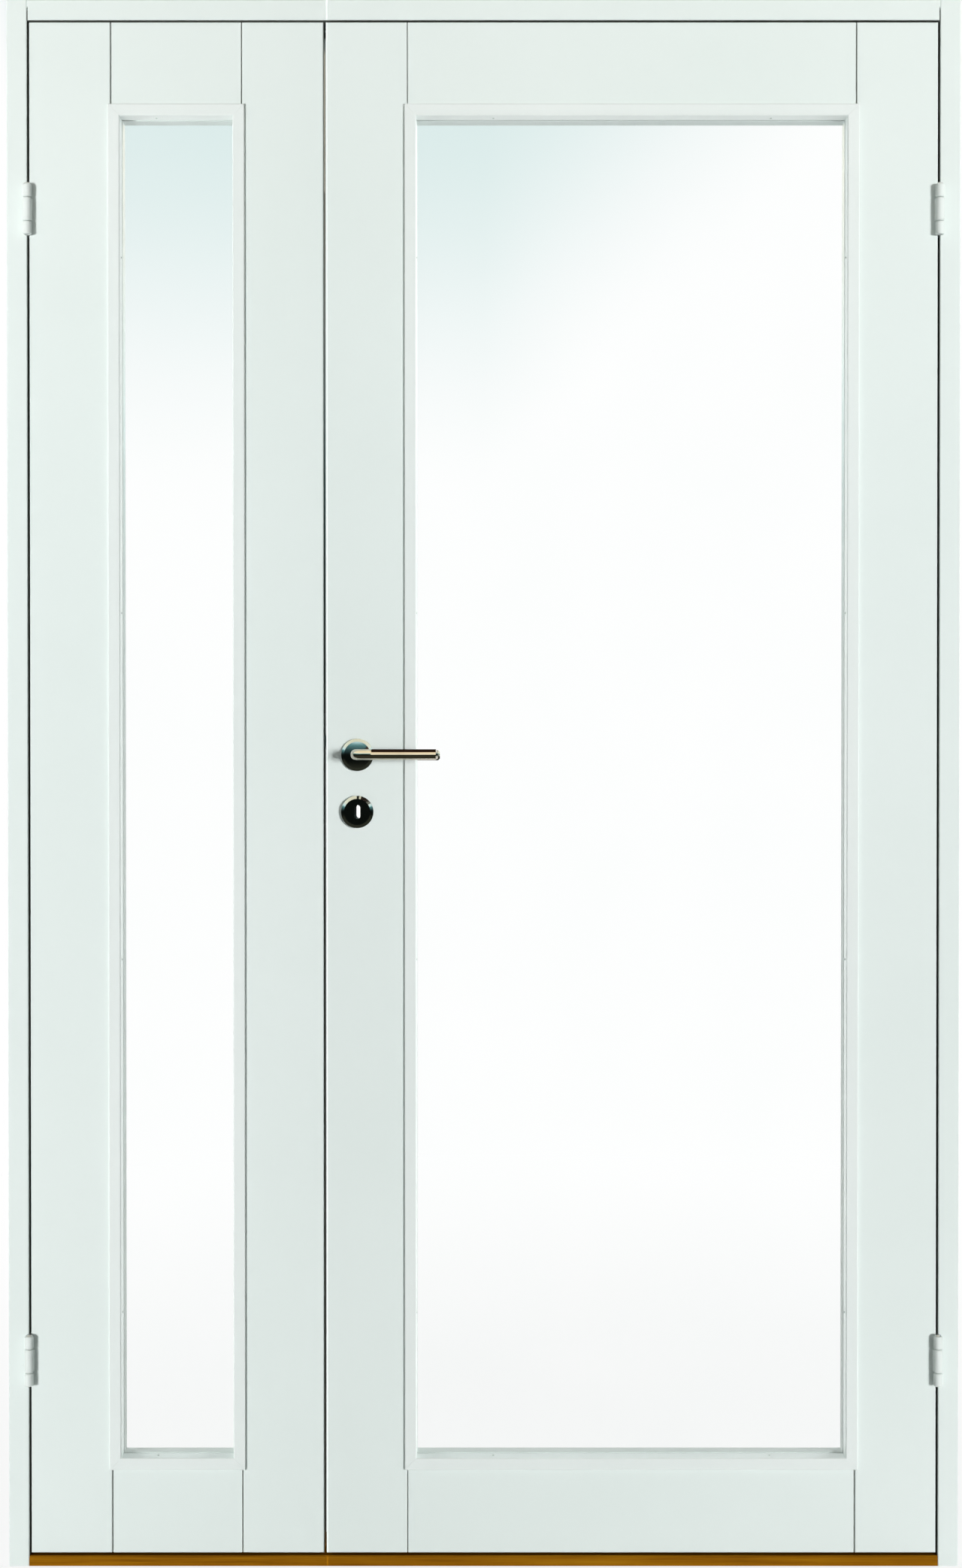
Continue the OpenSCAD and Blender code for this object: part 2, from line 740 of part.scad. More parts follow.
// Mortise lock: forend and hollow case, with openings for latch, bolt, follower and key
module lock_case() {
    x0 = active_x0;
    xc = x0 + forend_t;
    xb = spindle_x + case_back;
    w = case_wall;
    color(ZINC) difference() {
        union() {
            block([x0, -forend_w / 2, forend_z0], [xc, forend_w / 2, forend_z1]);
            block([xc - eps, -case_t / 2, case_z0], [xb, case_t / 2, case_z1]);
        }
        block([xc, -case_t / 2 + w, case_z0 + w], [xb - w, case_t / 2 - w, case_z1 - w]);
        block([x0 - over, -latch_w / 2 - slide_fit, tail_z0 - slide_fit],
              [xc + over, latch_w / 2 + slide_fit, tail_z0 + tail_h + slide_fit]);
        block([x0 - over, -bolt_t / 2 - slide_fit, key_z - bolt_h / 2 - slide_fit],
              [xc + over, bolt_t / 2 + slide_fit, key_z + bolt_h / 2 + slide_fit]);
        rod_y(-case_t, case_t, spindle_x, lever_z, hub_r + pin_fit);
        slot_y(-case_t, case_t, spindle_x, key_z, key_slot_w + slide_fit, key_slot_h + slide_fit);
        forend_screws(pin_fit);
    }
}

// Follower: a hub on the spindle with an arm that draws the latch back
module follower() {
    color(ZINC) difference() {
        union() {
            rod_y(-case_t / 2, case_t / 2, spindle_x, lever_z, hub_r);
            block([spindle_x - arm_w / 2, -tail_t / 2 + slide_fit, lever_z],
                  [spindle_x + arm_w / 2, tail_t / 2 - slide_fit, lever_z + arm_r]);
        }
        square_hole(-case_t, case_t);
    }
}

// Latch: a bevelled head in the forend and a tail with a window for the follower's arm
module latch_bolt() {
    nose = active_x0 - latch_throw;
    head_end = active_x0 + forend_t + latch_head;
    arm = arm_w / 2;
    color(ZINC) difference() {
        union() {
            block([nose, -latch_w / 2, tail_z0], [head_end, latch_w / 2, tail_z0 + tail_h]);
            block([head_end - eps, -tail_t / 2, tail_z0],
                  [spindle_x + arm + arm_play + tail_end, tail_t / 2, tail_z0 + tail_h]);
        }
        block([spindle_x - arm - arm_back, -tail_t, tail_z0 - over],
              [spindle_x + arm + arm_play, tail_t, lever_z + arm_r + over]);
        translate([nose, latch_lip - latch_w / 2, tail_z0 - over]) linear_extrude(tail_h + 2 * over)
            polygon([[-over, 0], [0, 0], [latch_throw - over, latch_w - over], [-over, latch_w - over]]);
    }
}

module dead_bolt() {
    color(ZINC) block([active_x0 + fit, -bolt_t / 2, key_z - bolt_h / 2],
                      [active_x0 + bolt_l, bolt_t / 2, key_z + bolt_h / 2]);
}

// Square hole for the spindle
module square_hole(y0, y1) {
    s = spindle_s / 2 + pin_fit;
    block([spindle_x - s, y0, lever_z - s], [spindle_x + s, y1, lever_z + s]);
}

spindle_reach = leaf_t / 2 + lever_out - lever_d;

module spindle() {
    s = spindle_s / 2;
    color(ZINC)
        block([spindle_x - s, -spindle_reach, lever_z - s], [spindle_x + s, spindle_reach, lever_z + s]);
}

// Turned disc on the face of the leaf with a sloping rim, its front flat or a shallow dome
module rose_disc(z, dome = 0) {
    r = rose_d / 2;
    front_r = r - rose_rim;
    front_t = rose_t - dome;
    translate([spindle_x, front_y, z]) rotate([90, 0, 0]) rotate_extrude() {
        polygon([[0, 0], [r, 0], [r, front_t - rose_rim_h], [front_r, front_t], [0, front_t]]);
        if (dome > 0) {
            dome_r = (front_r * front_r + dome * dome) / (2 * dome);
            intersection() {
                translate([0, rose_t - dome_r]) circle(dome_r);
                translate([0, front_t - eps]) square([front_r, dome + eps]);
            }
        }
    }
}

module rose() {
    color(STEEL) difference() {
        rose_disc(lever_z, rose_dome);
        rod_y(front_y - rose_t - over, front_y + over, spindle_x, lever_z, lever_d / 2 + slide_fit);
    }
}

module escutcheon() {
    color(STEEL) difference() {
        rose_disc(key_z);
        slot_y(front_y - rose_t - over, front_y + over, spindle_x, key_z, key_slot_w, key_slot_h);
    }
}

// Round bar lever: neck, tight bend and straight grip with an eased end
module lever() {
    r = lever_d / 2;
    bend = r + bend_in;
    neck_y = front_y - neck_clear;
    grip_y = front_y - lever_out;
    ease = grip_ease;
    color(STEEL) difference() {
        union() {
            rod_y(grip_y + bend, neck_y, spindle_x, lever_z, r);
            translate([spindle_x + bend, grip_y + bend, lever_z])
                rotate([0, 0, 180]) rotate_extrude(angle = 90) translate([bend, 0]) circle(r);
            translate([spindle_x + bend, grip_y, lever_z]) rotate([0, 90, 0])
                rotate_extrude() polygon([[0, 0], [r, 0], [r, lever_reach - bend - ease],
                                          [r - ease, lever_reach - bend], [0, lever_reach - bend]]);
        }
        square_hole(-spindle_reach - over, neck_y + over);
    }
}

module lever_rear() {
    mirror([0, 1, 0]) lever();
}

// Windows of the strike plate, run back to x for the pockets behind it
module strike_windows(x) {
    latch_z = tail_z0 + tail_h / 2;
    for (w = [[latch_z, tail_h / 2, latch_w / 2], [key_z, bolt_h / 2, bolt_t / 2]])
        block([x, -w[2] - window_w_clear, w[0] - w[1] - window_h_clear],
              [passive_x1 + over, w[2] + window_w_clear, w[0] + w[1] + window_h_clear]);
}

module strike_screws(grow = 0) {
    for (z = [strike_z0 + edge_screw_in, strike_z1 - edge_screw_in])
        translate([passive_x1, 0, z]) rotate([0, 180, 0]) screw_x(grow);
}

// Strike plate for the latch and the bolt, let into the edge of the passive leaf
module strike_plate() {
    color(ZINC) difference() {
        block([passive_x1 - strike_t, -forend_w / 2, strike_z0], [passive_x1, forend_w / 2, strike_z1]);
        strike_windows(passive_x1 - pocket_d);
        strike_screws(pin_fit);
    }
}

// Flush bolts

// Places a flush bolt drawn with the end of the leaf at z = 0 and its rod below it
module at_flush(end) {
    translate([passive_x1, 0, end > 0 ? leaf_top : leaf_bottom]) mirror([0, 0, end > 0 ? 0 : 1]) children();
}

flush_in = -flush_axis_in;            // the same axis, measured from the edge of the leaf
thumb_low = -thumb_drop - thumb_h / 2;
thumb_high = -thumb_drop + thumb_h / 2 + flush_throw;

// One screw below the thumb piece and one down through the foot
module flush_plate_screws(grow = 0) {
    translate([0, 0, -flush_l + edge_screw_in]) rotate([0, 180, 0]) screw_x(grow);
    translate([-flush_foot_l + flush_foot_screw, 0, 0]) rotate([0, 90, 0]) screw_x(grow);
}

// Angle plate: a long limb on the edge of the leaf and a short foot on its end
module flush_angle(grow, rise) {
    w = flush_plate_w / 2 + grow;
    t = flush_plate_t;
    block([-t, -w, -flush_l - grow], [rise, w, rise]);
    block([-flush_foot_l - grow, -w, -t], [rise, w, rise]);
}

// Slot in which the thumb piece travels, from x to past the edge
module thumb_slot(x) {
    block([x, -thumb_w / 2 - slide_fit, thumb_low - over],
          [over, thumb_w / 2 + slide_fit, thumb_high + over]);
}

// Hole that guides the rod
module flush_guide() {
    translate([flush_in, 0, thumb_low - over])
        cylinder(h = 2 * over - thumb_low, r = flush_d / 2 + slide_fit);
}

// Channel in the stile for the rod, the thumb piece and the plate
module flush_groove(end) {
    at_flush(end) {
        flush_angle(fit, over);
        flush_guide();
        thumb_slot(flush_in);
        flush_plate_screws(pin_fit);
    }
}

// Plate flush with the edge and the end of the leaf, with a slot for the thumb piece
module flush_plate(end) {
    color(ZINC) at_flush(end) difference() {
        flush_angle(0, 0);
        thumb_slot(-flush_plate_t - over);
        flush_guide();
        flush_plate_screws(pin_fit);
    }
}

// Sliding rod with its thumb piece, drawn back
module flush_bolt(end) {
    r = flush_d / 2;
    h = -thumb_low - flush_set_back;
    c = flush_tip;
    color(ZINC) at_flush(end) {
        translate([flush_in, 0, thumb_low])
            rotate_extrude() polygon([[0, 0], [r, 0], [r, h - c], [r - c, h], [0, h]]);
        block([flush_in, -thumb_w / 2, thumb_low], [-thumb_set_back, thumb_w / 2, thumb_low + thumb_h]);
    }
}

module passive_screws() {
    color(ZINC) {
        at_hinges(-1) plate_screws(1);
        strike_screws();
        for (end = [-1, 1]) at_flush(end) flush_plate_screws();
    }
}

module active_screws() {
    color(ZINC) {
        at_hinges(1) plate_screws(1);
        forend_screws();
    }
}

// Assembly

jamb(-1);  // jamb_left
jamb(1);  // jamb_right
frame_head();
threshold();
frame_seal();
fixing_sleeves();
jamb_plate(-1, hinge_zs[0]);  // hinge_jamb_plate_left_low
jamb_plate(-1, hinge_zs[1]);  // hinge_jamb_plate_left_high
jamb_plate(1, hinge_zs[0]);  // hinge_jamb_plate_right_low
jamb_plate(1, hinge_zs[1]);  // hinge_jamb_plate_right_high
hinge_pins();
frame_screws();
head_keeper();
threshold_socket();

passive_hinge_stile();
passive_meeting_stile();
top_rail(passive_x0, passive_x1);  // passive_top_rail
bottom_rail(passive_x0, passive_x1);  // passive_bottom_rail
pane(passive_x0, passive_x1);  // passive_pane
bead(passive_x0, passive_x1, 0);  // passive_bead_top
bead(passive_x0, passive_x1, 1);  // passive_bead_right
bead(passive_x0, passive_x1, 2);  // passive_bead_bottom
bead(passive_x0, passive_x1, 3);  // passive_bead_left
rear_beads(passive_x0, passive_x1);  // passive_rear_beads
glazing_tape(passive_x0, passive_x1);  // passive_glazing_tape
setting_blocks(passive_x0, passive_x1);  // passive_setting_blocks
leaf_plate(-1, hinge_zs[0]);  // hinge_leaf_plate_left_low
leaf_plate(-1, hinge_zs[1]);  // hinge_leaf_plate_left_high
strike_plate();
flush_plate(1);  // flush_plate_top
flush_plate(-1);  // flush_plate_bottom
passive_screws();
flush_bolt(1);  // flush_bolt_top
flush_bolt(-1);  // flush_bolt_bottom

active_lock_stile();
active_hinge_stile();
top_rail(active_x0, active_x1);  // active_top_rail
bottom_rail(active_x0, active_x1);  // active_bottom_rail
pane(active_x0, active_x1);  // active_pane
bead(active_x0, active_x1, 0);  // active_bead_top
bead(active_x0, active_x1, 1);  // active_bead_right
bead(active_x0, active_x1, 2);  // active_bead_bottom
bead(active_x0, active_x1, 3);  // active_bead_left
rear_beads(active_x0, active_x1);  // active_rear_beads
glazing_tape(active_x0, active_x1);  // active_glazing_tape
setting_blocks(active_x0, active_x1);  // active_setting_blocks
leaf_plate(1, hinge_zs[0]);  // hinge_leaf_plate_right_low
leaf_plate(1, hinge_zs[1]);  // hinge_leaf_plate_right_high
lock_case();
rose();  // rose_front
mirror([0, 1, 0]) rose();  // rose_rear
escutcheon();  // escutcheon_front
mirror([0, 1, 0]) escutcheon();  // escutcheon_rear
active_screws();
lever();  // lever_front
lever_rear();
spindle();
follower();
latch_bolt();
dead_bolt();
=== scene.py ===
import math

import bmesh
import bpy
from mathutils import Matrix, Vector


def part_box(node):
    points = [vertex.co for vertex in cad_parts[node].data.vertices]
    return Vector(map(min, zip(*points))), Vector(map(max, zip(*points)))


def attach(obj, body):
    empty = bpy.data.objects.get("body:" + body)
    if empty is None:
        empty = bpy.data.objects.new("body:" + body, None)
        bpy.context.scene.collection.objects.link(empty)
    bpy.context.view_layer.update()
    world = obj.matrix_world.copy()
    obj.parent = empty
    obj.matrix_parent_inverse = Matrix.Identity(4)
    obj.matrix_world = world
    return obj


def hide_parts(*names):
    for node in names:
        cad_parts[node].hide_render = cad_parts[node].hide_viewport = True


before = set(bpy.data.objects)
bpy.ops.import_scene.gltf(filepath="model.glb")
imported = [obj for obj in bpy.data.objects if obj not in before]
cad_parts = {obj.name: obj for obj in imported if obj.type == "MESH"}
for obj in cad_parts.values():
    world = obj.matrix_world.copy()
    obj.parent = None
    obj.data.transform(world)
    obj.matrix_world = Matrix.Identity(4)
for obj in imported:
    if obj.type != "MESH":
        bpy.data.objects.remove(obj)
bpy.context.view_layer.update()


# Jambs and head: rebated softwood that carries both leaves, the head butted between the jambs.
# They are sprayed with a satin enamel, white with a faint cool green cast, which leaves a very fine
# stipple and an uneven sheen. The narrow faces of the rebates are painted dark grey: painted shade,
# so that the gaps round the leaves read dark.
class Wire:
    """One output in a material's node tree; sums on wires add the nodes that work them out."""

    def __init__(self, tree, socket=None):
        self.tree = tree
        self.socket = socket

    def node(self, kind, settings, inputs, output=0):
        """Adds a node, sets it up, feeds its sockets, and gives the wire of one output."""
        made = self.tree.nodes.new(kind)
        for name, value in settings.items():
            if name == "stops":
                stops = made.color_ramp.elements
                while len(stops) < len(value):
                    stops.new(1.0)
                for stop, (place, colour) in zip(stops, value):
                    stop.position = place
                    stop.color = (*colour, 1.0)
            else:
                setattr(made, name, value)
        for name, value in inputs.items():
            if isinstance(value, Wire):
                self.tree.links.new(value.socket, made.inputs[name])
            else:
                made.inputs[name].default_value = value
        return Wire(self.tree, made.outputs[output] if len(made.outputs) else None)

    def sum(self, operation, first, second):
        return self.node("ShaderNodeMath", {"operation": operation}, {0: first, 1: second})

    def __add__(self, other):
        return self.sum("ADD", self, other)

    def __radd__(self, other):
        return self.sum("ADD", other, self)

    def __sub__(self, other):
        return self.sum("SUBTRACT", self, other)

    def __rsub__(self, other):
        return self.sum("SUBTRACT", other, self)

    def __mul__(self, other):
        return self.sum("MULTIPLY", self, other)

    def __rmul__(self, other):
        return self.sum("MULTIPLY", other, self)

    def __pow__(self, other):
        return self.sum("POWER", self, other)


def new_finish(name):
    """A material with an empty tree, and a wire from which its nodes are added."""
    material = bpy.data.materials.new(name)
    material.use_nodes = True
    material.node_tree.nodes.clear()
    return material, Wire(material.node_tree)


def place_on(w, stretch=(1, 1, 1)):
    """Object coordinates in metres, stretched along each axis."""
    place = w.node("ShaderNodeTexCoord", {}, {}, "Object")
    return w.node("ShaderNodeMapping", {}, {"Vector": place, "Scale": stretch})


def speckle(w, place, scale, detail=2.0, rough=0.5):
    """Soft noise between 0 and 1 at so many cells a metre."""
    return w.node("ShaderNodeTexNoise", {}, {
        "Vector": place, "Scale": scale, "Detail": detail, "Roughness": rough})


TINT_FROM = 0.3
TINT_TO = 0.7


def tint(w, share, low, high):
    """A colour between two, by a share that varies about a half."""
    stops = [(TINT_FROM, low), (TINT_TO, high)]
    return w.node("ShaderNodeValToRGB", {"stops": stops}, {"Fac": share})


def relief(w, height, depth):
    """A normal from a height between 0 and 1, so many metres deep."""
    return w.node("ShaderNodeBump", {}, {"Strength": 1.0, "Distance": depth, "Height": height})


def surface(w, shader):
    w.node("ShaderNodeOutputMaterial", {}, {"Surface": shader})


def dress(material, *names):
    """Gives CAD nodes their finish."""
    for name in names:
        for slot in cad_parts[name].material_slots:
            slot.material = material


# Dark grey painted on the faces inside gaps and joints, as painted shade.
PAINTED_GAP_SHADE_LOW = (0.19, 0.205, 0.18)
PAINTED_GAP_SHADE_HIGH = (0.24, 0.255, 0.23)
CLOUDS_A_METRE = 2.3
STIPPLE_A_METRE = 420.0
PEEL_A_METRE = 26.0
STIPPLE_SHARE = 0.75
SHEEN_SPREAD = 0.10
MIX_SHARE, MIX_FROM, MIX_TO, MIX_COLOUR = 0, 6, 7, 2


def enamel(name, low, high, dullness, stipple, painted_gap_shade=None):
    """Sprayed enamel: a faint cloudiness in the colour, a fine stipple, an uneven sheen.
    The last argument marks, 0 or 1, what is painted dark grey instead: painted shade in gaps and
    joints."""
    material, w = new_finish(name)
    place = place_on(w)
    cloud = speckle(w, place, CLOUDS_A_METRE, detail=3.0)
    fine = speckle(w, place, STIPPLE_A_METRE)
    peel = speckle(w, place, PEEL_A_METRE)
    colour = tint(w, cloud, low, high)
    if painted_gap_shade:
        colour = w.node("ShaderNodeMix", {"data_type": "RGBA"}, {
            MIX_SHARE: painted_gap_shade(w),
            MIX_FROM: colour,
            MIX_TO: tint(w, peel, PAINTED_GAP_SHADE_LOW, PAINTED_GAP_SHADE_HIGH),
        }, MIX_COLOUR)
    surface(w, w.node("ShaderNodeBsdfPrincipled", {}, {
        "Base Color": colour,
        "Roughness": dullness + SHEEN_SPREAD * peel,
        "Normal": relief(w, STIPPLE_SHARE * fine + (1.0 - STIPPLE_SHARE) * peel, stipple),
    }))
    return material


def part_of(w, kind, axis):
    """One axis of the object's place or of its unstippled normal."""
    whole = w.node("ShaderNodeTexCoord", {}, {}, kind)
    return w.node("ShaderNodeSeparateXYZ", {}, {"Vector": whole}, axis)


EDGE_SLOPE = 0.5


def edge_faces(w):
    """1 on faces that look sideways, up or down, 0 on those that look to the front or back."""
    return w.sum("LESS_THAN", part_of(w, "Normal", "Y") ** 2.0, EDGE_SLOPE ** 2)


# Bounds of the rebate faces that take the painted shade.
REBATE_OUT = 0.62
REBATE_TOP = 2.075
REBATE_BACK = 0.0205


def rebate_faces(w):
    """1 on the narrow faces of the rebates that the edges of the leaves come close to."""
    share = edge_faces(w) * w.sum("LESS_THAN", part_of(w, "Object", "Y"), REBATE_BACK)
    share = share * w.sum("LESS_THAN", part_of(w, "Object", "X") ** 2.0, REBATE_OUT ** 2)
    return share * w.sum("LESS_THAN", part_of(w, "Object", "Z"), REBATE_TOP)


WHITE_LOW = (0.775, 0.848, 0.822)
WHITE_HIGH = (0.80, 0.868, 0.845)
WOOD_STIPPLE = 0.00003
FRAME_DULLNESS = 0.34
frame_enamel = enamel("frame_enamel", WHITE_LOW, WHITE_HIGH, FRAME_DULLNESS, WOOD_STIPPLE,
                      rebate_faces)
dress(frame_enamel, "jamb_left", "jamb_right", "frame_head")


# Threshold: one solid oak board let in between the jambs, its grain along the doorway.
# It is oiled to a warm brown, with darker growth lines, open pores and an eased upper edge.
OAK_BROWNS = [(0.30, (0.135, 0.045, 0.001)), (0.46, (0.255, 0.098, 0.002)),
              (0.58, (0.32, 0.135, 0.003)), (0.74, (0.40, 0.19, 0.008))]
FIGURE_RUN = (1.6, 46.0, 46.0)
STREAK_RUN = (5.0, 420.0, 420.0)
PORE_RUN = (26.0, 1500.0, 1500.0)
FIGURE_SHARE = 0.62
PORE_SHARE = 0.6
PORE_DEPTH = 0.00012
OIL_DULLNESS = 0.46
OIL_SPREAD = 0.22
OIL_SHINE = 0.08


def oiled_oak():
    material, w = new_finish("oiled_oak")
    figure = speckle(w, place_on(w, FIGURE_RUN), scale=3.0, detail=5.0, rough=0.62)
    streak = speckle(w, place_on(w, STREAK_RUN), scale=2.0, detail=3.0, rough=0.55)
    pores = speckle(w, place_on(w, PORE_RUN), scale=1.0, detail=1.0)
    grain = FIGURE_SHARE * figure + (1.0 - FIGURE_SHARE) * streak
    surface(w, w.node("ShaderNodeBsdfPrincipled", {}, {
        "Base Color": w.node("ShaderNodeValToRGB", {"stops": OAK_BROWNS}, {"Fac": grain}),
        "Roughness": OIL_DULLNESS + OIL_SPREAD * pores,
        "Specular IOR Level": OIL_SHINE,
        "Normal": relief(w, PORE_SHARE * pores + (1.0 - PORE_SHARE) * streak, PORE_DEPTH),
    }))
    return material


dress(oiled_oak(), "threshold")


# Seal: a hollow bulb of dark brown rubber pressed into the grooves of the stops, in three lengths.
# It is extruded, so it is dull, with faint lines along it and a dusty bloom.
SEAL_DARK = (0.016, 0.013, 0.009)
SEAL_DUSTY = (0.034, 0.029, 0.022)
SEAL_RUN = (900.0, 900.0, 8.0)
SEAL_LINE_DEPTH = 0.00005
SEAL_DULLNESS = 0.62
SEAL_SPREAD = 0.2


def seal_rubber():
    material, w = new_finish("seal_rubber")
    bloom = speckle(w, place_on(w), scale=60.0, detail=3.0)
    lines = speckle(w, place_on(w, SEAL_RUN), scale=1.0, detail=1.0)
    surface(w, w.node("ShaderNodeBsdfPrincipled", {}, {
        "Base Color": tint(w, bloom, SEAL_DARK, SEAL_DUSTY),
        "Roughness": SEAL_DULLNESS + SEAL_SPREAD * bloom,
        "Normal": relief(w, lines, SEAL_LINE_DEPTH),
    }))
    return material


dress(seal_rubber(), "frame_seal")


# Fixings and lock parts: turned and pressed steel, plated with bright zinc.
# The plating is slightly cloudy, with fine tool marks under it.
ZINC_DARK = (0.50, 0.52, 0.53)
ZINC_PALE = (0.66, 0.68, 0.69)
TOOL_RUN = (1400.0, 1400.0, 120.0)
TOOL_DEPTH = 0.00001
ZINC_DULLNESS = 0.24
ZINC_SPREAD = 0.16
TOOL_SPREAD = 0.06


def bright_zinc():
    material, w = new_finish("bright_zinc")
    cloud = speckle(w, place_on(w), scale=90.0, detail=3.0)
    marks = speckle(w, place_on(w, TOOL_RUN), scale=1.0)
    surface(w, w.node("ShaderNodeBsdfPrincipled", {}, {
        "Base Color": tint(w, cloud, ZINC_DARK, ZINC_PALE),
        "Metallic": 1.0,
        "Roughness": ZINC_DULLNESS + ZINC_SPREAD * cloud + TOOL_SPREAD * marks,
        "Normal": relief(w, marks, TOOL_DEPTH),
    }))
    return material


zinc = bright_zinc()
dress(zinc, "fixing_sleeves", "head_keeper", "threshold_socket", "lock_case", "follower",
      "latch_bolt", "dead_bolt", "spindle", "strike_plate", "flush_plate_top",
      "flush_plate_bottom", "flush_bolt_top", "flush_bolt_bottom", "hinge_pins")


# Hinges: two steel plates let into jamb and leaf, three knuckles and a pin.
# They are powder-coated white, a little glossier and rounder in texture than the wood's enamel.
HINGE_LOW = (0.74, 0.80, 0.77)
HINGE_HIGH = (0.79, 0.845, 0.82)
HINGE_DULLNESS = 0.26
HINGE_STIPPLE = 0.00005
hinge_coat = enamel("hinge_powder_coat", HINGE_LOW, HINGE_HIGH, HINGE_DULLNESS, HINGE_STIPPLE)
dress(hinge_coat, *["hinge_%s_plate_%s_%s" % (part, side, level) for part in ("jamb", "leaf")
                    for side in ("left", "right") for level in ("low", "high")])


# Screws: countersunk steel wood screws with a cross recess, zinc plated, their heads flush with the
# plates that they hold. One is turned, and its copies stand for each body's CAD screws.
SCREW_HEAD_R = 0.0035
SCREW_HEAD_H = 0.0020
SCREW_SHANK_R = 0.00175
SCREW_POINT = 0.005
SCREW_TIP = 0.12
SCREW_L = 0.020
SCREW_SIDES = 28
CROSS_REACH = 0.0020
CROSS_DEPTH = 0.0011
CROSS_NARROW = 0.72
CROSS_TAPER = 0.72


def pulled(mesh, edges, offset, factor=1.0):
    """Extrudes edges to a new ring, moved along the axis and scaled about it; gives its edges."""
    made = bmesh.ops.extrude_edge_only(mesh, edges=edges)["geom"]
    verts = [item for item in made if isinstance(item, bmesh.types.BMVert)]
    ring = set(verts)
    bmesh.ops.scale(mesh, vec=(factor, factor, 1.0), verts=verts)
    bmesh.ops.translate(mesh, vec=(0.0, 0.0, offset), verts=verts)
    return [item for item in made
            if isinstance(item, bmesh.types.BMEdge) and all(v in ring for v in item.verts)]


def wood_screw():
    """A screw along -Z with the top of its head at the origin."""
    screw = bmesh.new()
    bmesh.ops.create_grid(screw, x_segments=3, y_segments=3, size=CROSS_REACH)
    corners = [face for face in screw.faces
               if min(abs(c) for c in face.calc_center_median().xy) > CROSS_REACH / 2]
    bmesh.ops.delete(screw, geom=corners, context="FACES")
    for axis in (0, 1):
        thin = [v for v in screw.verts if abs(v.co[axis]) < CROSS_REACH / 2]
        vec = [1.0, 1.0, 1.0]
        vec[axis] = CROSS_NARROW
        bmesh.ops.scale(screw, vec=vec, verts=thin)
    bmesh.ops.scale(screw, vec=(CROSS_TAPER, CROSS_TAPER, 1.0), verts=screw.verts)
    bmesh.ops.translate(screw, vec=(0.0, 0.0, -CROSS_DEPTH), verts=screw.verts)
    floor = [e for e in screw.edges if e.is_boundary]
    mouth = pulled(screw, floor, CROSS_DEPTH, 1.0 / CROSS_TAPER)
    rim_verts = bmesh.ops.create_circle(screw, segments=SCREW_SIDES, radius=SCREW_HEAD_R)["verts"]
    rim = list(dict.fromkeys(e for v in rim_verts for e in v.link_edges))
    bmesh.ops.triangle_fill(screw, use_beauty=True, use_dissolve=False, edges=mouth + rim)
    cone = pulled(screw, rim, -SCREW_HEAD_H, SCREW_SHANK_R / SCREW_HEAD_R)
    shank = pulled(screw, cone, SCREW_HEAD_H + SCREW_POINT - SCREW_L)
    point = pulled(screw, shank, -SCREW_POINT, SCREW_TIP)
    bmesh.ops.edgeloop_fill(screw, edges=point)
    bmesh.ops.recalc_face_normals(screw, faces=screw.faces)
    mesh = bpy.data.meshes.new("wood_screw")
    screw.to_mesh(mesh)
    screw.free()
    return mesh


def new_piece(name, mesh, body, material):
    """Makes a finished bmesh a piece that rides on a body."""
    data = bpy.data.meshes.new(name)
    mesh.to_mesh(data)
    mesh.free()
    piece = bpy.data.objects.new(name, data)
    bpy.context.scene.collection.objects.link(piece)
    data.materials.append(material)
    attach(piece, body)
    return piece


COPY_TWIST = 0.83


def copies(master, places):
    """Copies of a mesh, +Z turned to each place's outward direction, each twisted a little on."""
    mesh = bmesh.new()
    for count, (point, outward) in enumerate(places):
        first = len(mesh.verts)
        mesh.from_mesh(master)
        mesh.verts.ensure_lookup_table()
        facing = Vector((0, 0, 1)).rotation_difference(Vector(outward)).to_matrix().to_4x4()
        twist = Matrix.Rotation(COPY_TWIST * count, 4, "Z")
        bmesh.ops.transform(mesh, matrix=Matrix.Translation(point) @ facing @ twist,
                            verts=mesh.verts[first:])
    return mesh


SCREW_NEAR = 0.009
SCREW_FAR = 0.021
SCREW_END = 0.011
HINGE_PIN_HEAD_R = 0.0043
HALF_GAP = 0.0015
LEAF_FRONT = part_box("passive_top_rail")[0].y


def hinge_screw_places(part, side):
    """Heads of the screws in the two plates of one side, and the way that they face."""
    towards_leaf = 1 if side == "left" else -1
    pins_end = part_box("hinge_pins")[0 if side == "left" else 1].x
    axis_x = pins_end + towards_leaf * HINGE_PIN_HEAD_R
    way = towards_leaf if part == "jamb" else -towards_leaf
    x = axis_x - way * HALF_GAP
    places = []
    for level in ("low", "high"):
        low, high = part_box("hinge_%s_plate_%s_%s" % (part, side, level))
        heights = (low.z + SCREW_END, (low.z + high.z) / 2, high.z - SCREW_END)
        for y, z in zip((SCREW_NEAR, SCREW_FAR, SCREW_NEAR), heights):
            places.append((Vector((x, LEAF_FRONT + y, z)), (way, 0, 0)))
    return places


screw_master = wood_screw()
frame_places = hinge_screw_places("jamb", "left") + hinge_screw_places("jamb", "right")
frame_screw_set = new_piece("frame_screw_set", copies(screw_master, frame_places),
                            "frame", zinc)
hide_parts("frame_screws")


def edge_places(plate, x, outward):
    """Heads of the two screws near the ends of a plate in the edge of a leaf."""
    low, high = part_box(plate)
    return [(Vector((x, 0, z)), outward) for z in (low.z + SCREW_NEAR, high.z - SCREW_NEAR)]


